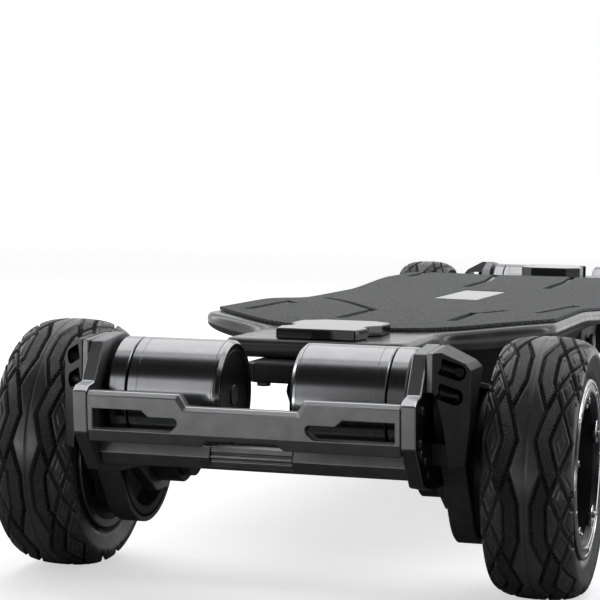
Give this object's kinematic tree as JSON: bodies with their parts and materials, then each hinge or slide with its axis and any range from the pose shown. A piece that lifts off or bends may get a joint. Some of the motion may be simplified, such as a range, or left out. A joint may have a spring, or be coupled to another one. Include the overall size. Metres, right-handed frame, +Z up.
{
  "type": "electric mountainboard",
  "caption": "Four-wheel electric mountainboard: long platform deck with a battery box under it, belt-driven pneumatic wheels and a guard bar behind the motors at each end.",
  "frame": {"origin": "on the floor under the middle of the board, halfway between the axles", "axes": "+Y along the board to its front end, +X to its right side, +Z up"},
  "size_m": [0.352, 1.2244, 0.1533],
  "materials": {
    "deck": "satin black carbon composite",
    "grip": "coarse dark grey grit",
    "gloss_inlay": "polished black",
    "enclosure": "fine textured black",
    "battery": "shrink wrap",
    "controller": "black anodised",
    "button": "satin",
    "soft_rubber": "matte",
    "black_aluminium": "satin black",
    "anodised": "bead-blasted black anodised",
    "belt_cover": "smooth satin black",
    "motor_can": "satin gunmetal",
    "steel": "bright zinc",
    "belt": "smooth back",
    "tyre": "moulded tread"
  },
  "bodies": {
    "board": {"deck": "deck", "grip_sheet": "grip", "status_window": "gloss_inlay", "rear_cover_plate": "gloss_inlay", "front_cover_plate": "gloss_inlay", "battery_enclosure": "enclosure", "battery_pack": "battery", "motor_controller": "controller", "charge_port": "enclosure", "rear_baseplate": "black_aluminium", "rear_kingpin": "steel", "rear_bushing_upper": "soft_rubber", "rear_bushing_lower": "soft_rubber", "front_baseplate": "black_aluminium", "front_kingpin": "steel", "front_bushing_upper": "soft_rubber", "front_bushing_lower": "soft_rubber"},
    "rear_truck": {"rear_hanger": "black_aluminium", "rear_axle": "steel", "rear_guard_bar": "anodised", "rear_skid_bar": "anodised", "rear_motor_mount_right": "anodised", "rear_motor_mount_left": "anodised", "rear_belt_cover_right": "belt_cover", "rear_belt_cover_left": "belt_cover", "rear_drive_belt_right": "belt", "rear_drive_belt_left": "belt", "rear_motor_stator_right": "black_aluminium", "rear_motor_stator_left": "black_aluminium"},
    "front_truck": {"front_hanger": "black_aluminium", "front_axle": "steel", "front_guard_bar": "anodised", "front_skid_bar": "anodised", "front_motor_mount_right": "anodised", "front_motor_mount_left": "anodised", "front_belt_cover_right": "belt_cover", "front_belt_cover_left": "belt_cover", "front_drive_belt_right": "belt", "front_drive_belt_left": "belt", "front_motor_stator_right": "black_aluminium", "front_motor_stator_left": "black_aluminium"},
    "rear_right_wheel": {"rear_tyre_right": "tyre", "rear_rim_right": "black_aluminium", "rear_wheel_pulley_right": "black_aluminium"},
    "rear_left_wheel": {"rear_tyre_left": "tyre", "rear_rim_left": "black_aluminium", "rear_wheel_pulley_left": "black_aluminium"},
    "front_right_wheel": {"front_tyre_right": "tyre", "front_rim_right": "black_aluminium", "front_wheel_pulley_right": "black_aluminium"},
    "front_left_wheel": {"front_tyre_left": "tyre", "front_rim_left": "black_aluminium", "front_wheel_pulley_left": "black_aluminium"},
    "rear_right_rotor": {"rear_motor_rotor_right": "motor_can"},
    "rear_left_rotor": {"rear_motor_rotor_left": "motor_can"},
    "front_right_rotor": {"front_motor_rotor_right": "motor_can"},
    "front_left_rotor": {"front_motor_rotor_left": "motor_can"},
    "power_button": {"power_button": "button"},
    "charge_port_cap": {"charge_port_cap": "soft_rubber"}
  },
  "joints": [
    {"name": "rear_steer", "type": "hinge", "parent": "board", "child": "rear_truck", "pos_m": [0, -0.4715, 0.101], "axis": [0, -0.7071, 0.7071], "range_deg": [-15, 15], "stiffness_Nm_per_rad": 80},
    {"name": "front_steer", "type": "hinge", "parent": "board", "child": "front_truck", "pos_m": [0, 0.4715, 0.101], "axis": [0, 0.7071, 0.7071], "range_deg": [-15, 15], "stiffness_Nm_per_rad": 80},
    {"name": "rear_right_wheel_spin", "type": "hinge", "parent": "rear_truck", "child": "rear_right_wheel", "pos_m": [0.147, -0.4875, 0.076], "axis": [1, 0, 0], "continuous": true},
    {"name": "rear_left_wheel_spin", "type": "hinge", "parent": "rear_truck", "child": "rear_left_wheel", "pos_m": [-0.147, -0.4875, 0.076], "axis": [1, 0, 0], "continuous": true},
    {"name": "front_right_wheel_spin", "type": "hinge", "parent": "front_truck", "child": "front_right_wheel", "pos_m": [0.147, 0.4875, 0.076], "axis": [1, 0, 0], "continuous": true},
    {"name": "front_left_wheel_spin", "type": "hinge", "parent": "front_truck", "child": "front_left_wheel", "pos_m": [-0.147, 0.4875, 0.076], "axis": [1, 0, 0], "continuous": true},
    {"name": "rear_right_rotor_spin", "type": "hinge", "parent": "rear_truck", "child": "rear_right_rotor", "pos_m": [0.05, -0.557, 0.117], "axis": [1, 0, 0], "continuous": true},
    {"name": "rear_left_rotor_spin", "type": "hinge", "parent": "rear_truck", "child": "rear_left_rotor", "pos_m": [-0.05, -0.557, 0.117], "axis": [1, 0, 0], "continuous": true},
    {"name": "front_right_rotor_spin", "type": "hinge", "parent": "front_truck", "child": "front_right_rotor", "pos_m": [0.05, 0.557, 0.117], "axis": [1, 0, 0], "continuous": true},
    {"name": "front_left_rotor_spin", "type": "hinge", "parent": "front_truck", "child": "front_left_rotor", "pos_m": [-0.05, 0.557, 0.117], "axis": [1, 0, 0], "continuous": true},
    {"name": "power_press", "type": "slide", "parent": "board", "child": "power_button", "axis": [-1, 0, 0], "range_m": [0, 0.0015], "stiffness_N_per_m": 300},
    {"name": "charge_cap_hinge", "type": "hinge", "parent": "board", "child": "charge_port_cap", "pos_m": [0.1079, 0.03, 0.1262], "axis": [0, -1, 0], "range_deg": [0, 95]}
  ],
  "couplings": [
    {"joint": "rear_right_rotor_spin", "follows": "rear_right_wheel_spin", "ratio": 3.75},
    {"joint": "rear_left_rotor_spin", "follows": "rear_left_wheel_spin", "ratio": 3.75},
    {"joint": "front_right_rotor_spin", "follows": "front_right_wheel_spin", "ratio": 3.75},
    {"joint": "front_left_rotor_spin", "follows": "front_left_wheel_spin", "ratio": 3.75}
  ]
}
